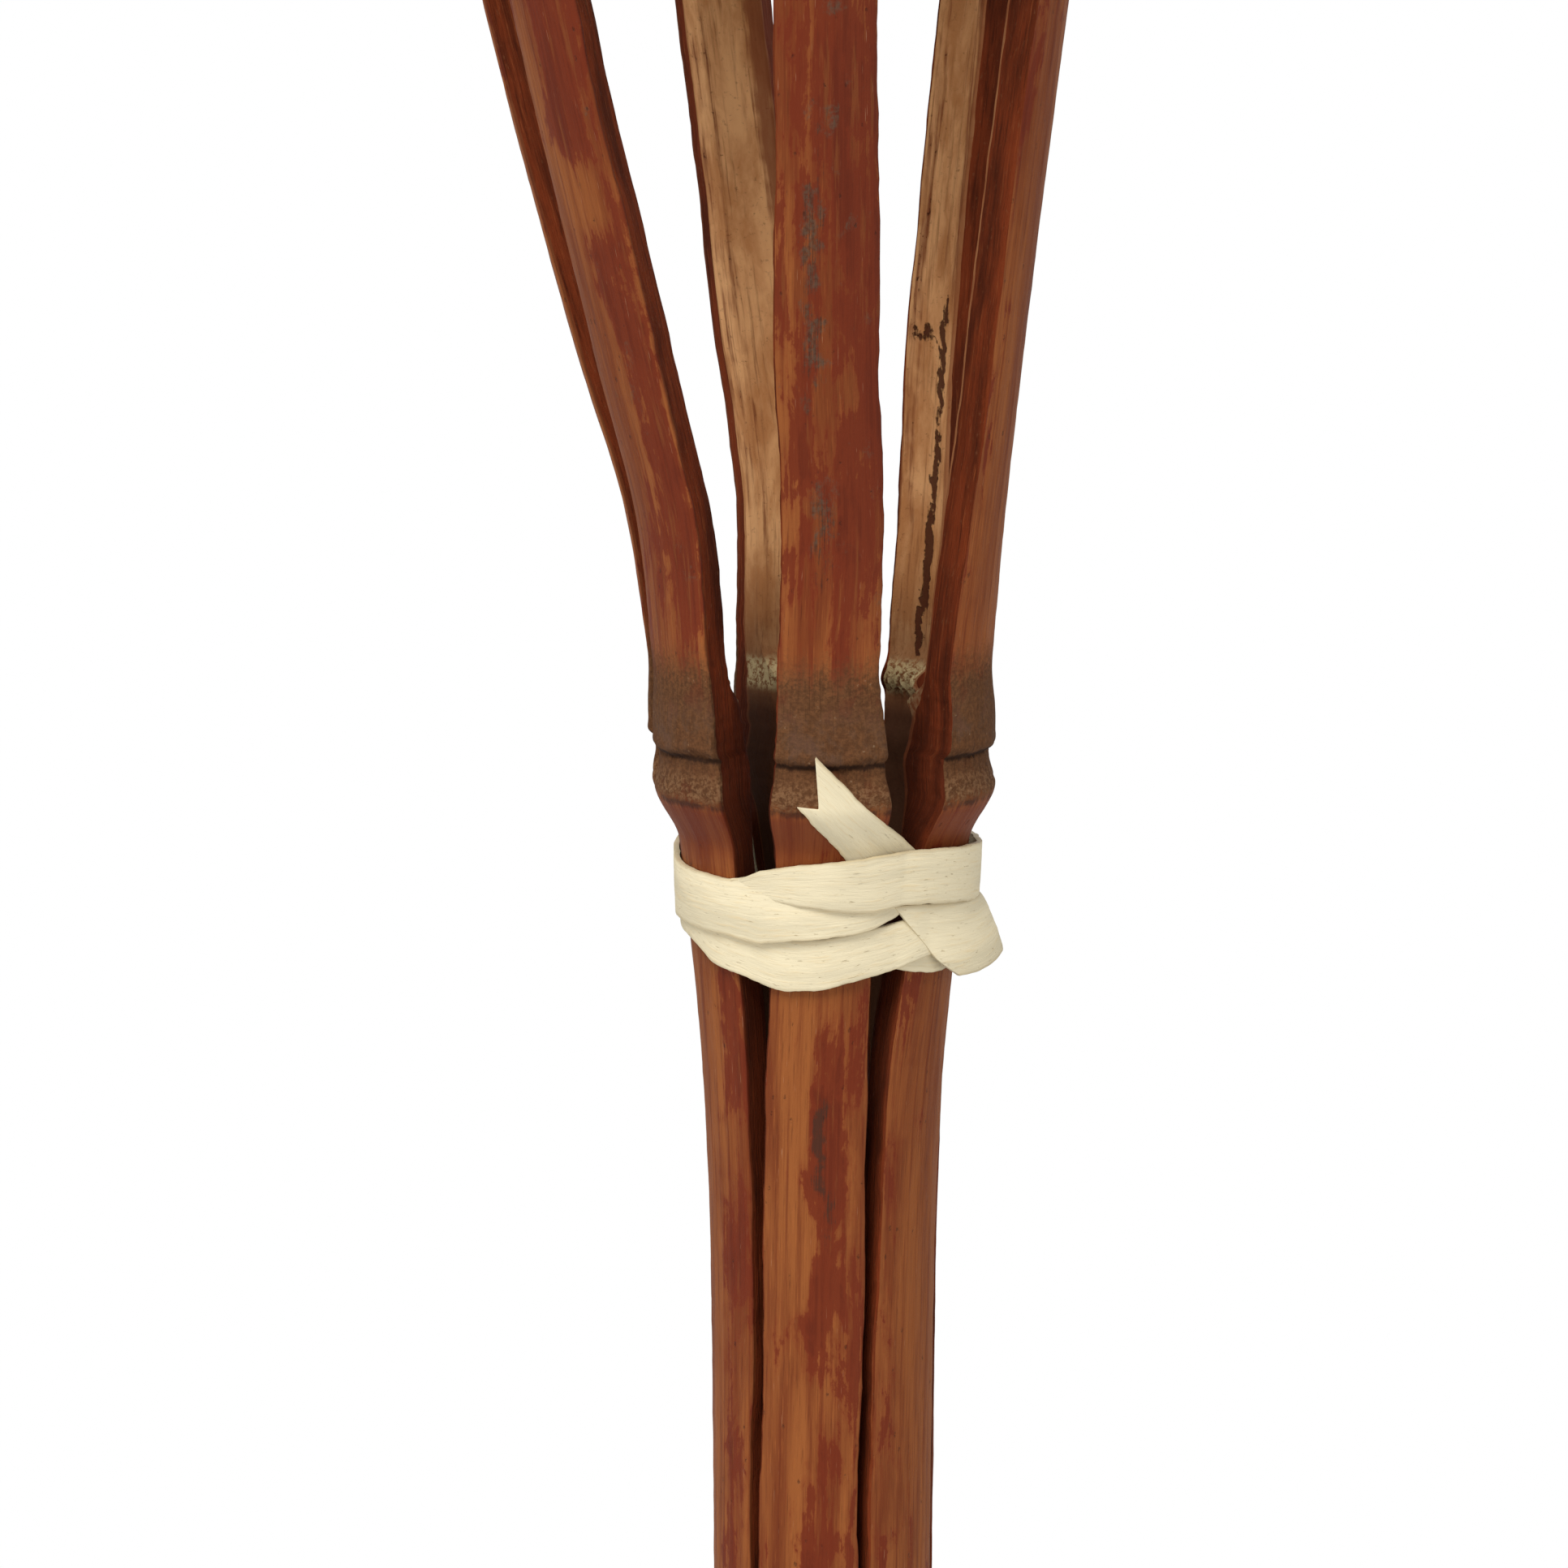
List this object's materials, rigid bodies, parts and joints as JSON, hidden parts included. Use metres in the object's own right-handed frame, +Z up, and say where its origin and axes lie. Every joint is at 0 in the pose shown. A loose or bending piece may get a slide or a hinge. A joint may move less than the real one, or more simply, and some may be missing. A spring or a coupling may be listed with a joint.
{
  "type": "tiki torch",
  "caption": "Bamboo garden torch: a pointed cane pole whose split top fans out into a woven basket with a lift-out oil canister, screw-on wick burner and snuffer cap.",
  "frame": {"origin": "on the pole's axis at the ground line, where the pole leaves the ground", "axes": "+Z up along the pole, -Z down into the ground, +X to the right and -Y towards the side the basket strip's loose tail is on"},
  "size_m": [0.1166, 0.1172, 1.1947],
  "materials": {
    "bamboo": "weathered varnished bamboo skin with dark stains and grey mould at the nodes",
    "tie_rattan": "dry bare rattan strip",
    "weave_rattan": "dry split rattan",
    "hoop_cane": "satin round cane",
    "can_paint": "satin black paint on tinplate",
    "gasket_rubber": "matt black",
    "cap_metal": "spun steel",
    "tube_metal": "plain brass",
    "wick_cotton": "braided cotton",
    "knob_wood": "dark turned wood"
  },
  "bodies": {
    "torch_stand": {"pole": "bamboo", "stave_front": "bamboo", "stave_front_right": "bamboo", "stave_back_right": "bamboo", "stave_back": "bamboo", "stave_back_left": "bamboo", "stave_front_left": "bamboo", "rattan_tie": "tie_rattan", "weave_course_01": "weave_rattan", "weave_course_02": "weave_rattan", "weave_course_03": "weave_rattan", "weave_course_04": "weave_rattan", "weave_course_05": "weave_rattan", "weave_course_06": "weave_rattan", "weave_course_07": "weave_rattan", "weave_course_08": "weave_rattan", "weave_course_09": "weave_rattan", "weave_course_10": "weave_rattan", "weave_course_11": "weave_rattan", "weave_course_12": "weave_rattan", "rim_hoop_inner": "hoop_cane", "rim_hoop_outer": "hoop_cane", "rim_lashings": "weave_rattan"},
    "canister": {"canister_cup": "can_paint", "canister_collar": "can_paint", "canister_lid": "can_paint", "filler_neck": "can_paint"},
    "neck_gasket": {"gasket": "gasket_rubber"},
    "burner": {"burner_cap": "cap_metal", "wick_tube": "tube_metal"},
    "wick": {"wick": "wick_cotton"},
    "snuffer": {"snuffer_cap": "cap_metal", "snuffer_knob": "knob_wood", "snuffer_rivet": "tube_metal"}
  },
  "joints": [
    {"name": "canister_lift", "type": "slide", "parent": "torch_stand", "child": "canister", "axis": [0, 0, 1], "range_m": [0, 0.12]},
    {"name": "cap_rise", "type": "slide", "parent": "canister", "child": "neck_gasket", "axis": [0, 0, 1], "range_m": [0, 0.0075]},
    {"name": "cap_turn", "type": "hinge", "parent": "neck_gasket", "child": "burner", "pos_m": [-0.009, 0, 0.955], "axis": [0, 0, 1], "range_deg": [0, 1080]},
    {"name": "wick_slide", "type": "slide", "parent": "burner", "child": "wick", "axis": [0, 0, 1], "range_m": [-0.004, 0.006]},
    {"name": "snuffer_lift", "type": "slide", "parent": "burner", "child": "snuffer", "axis": [0, 0, 1], "range_m": [0, 0.06]}
  ],
  "couplings": [
    {"joint": "cap_rise", "follows": "cap_turn", "m_per_rad": 0.00039789}
  ]
}
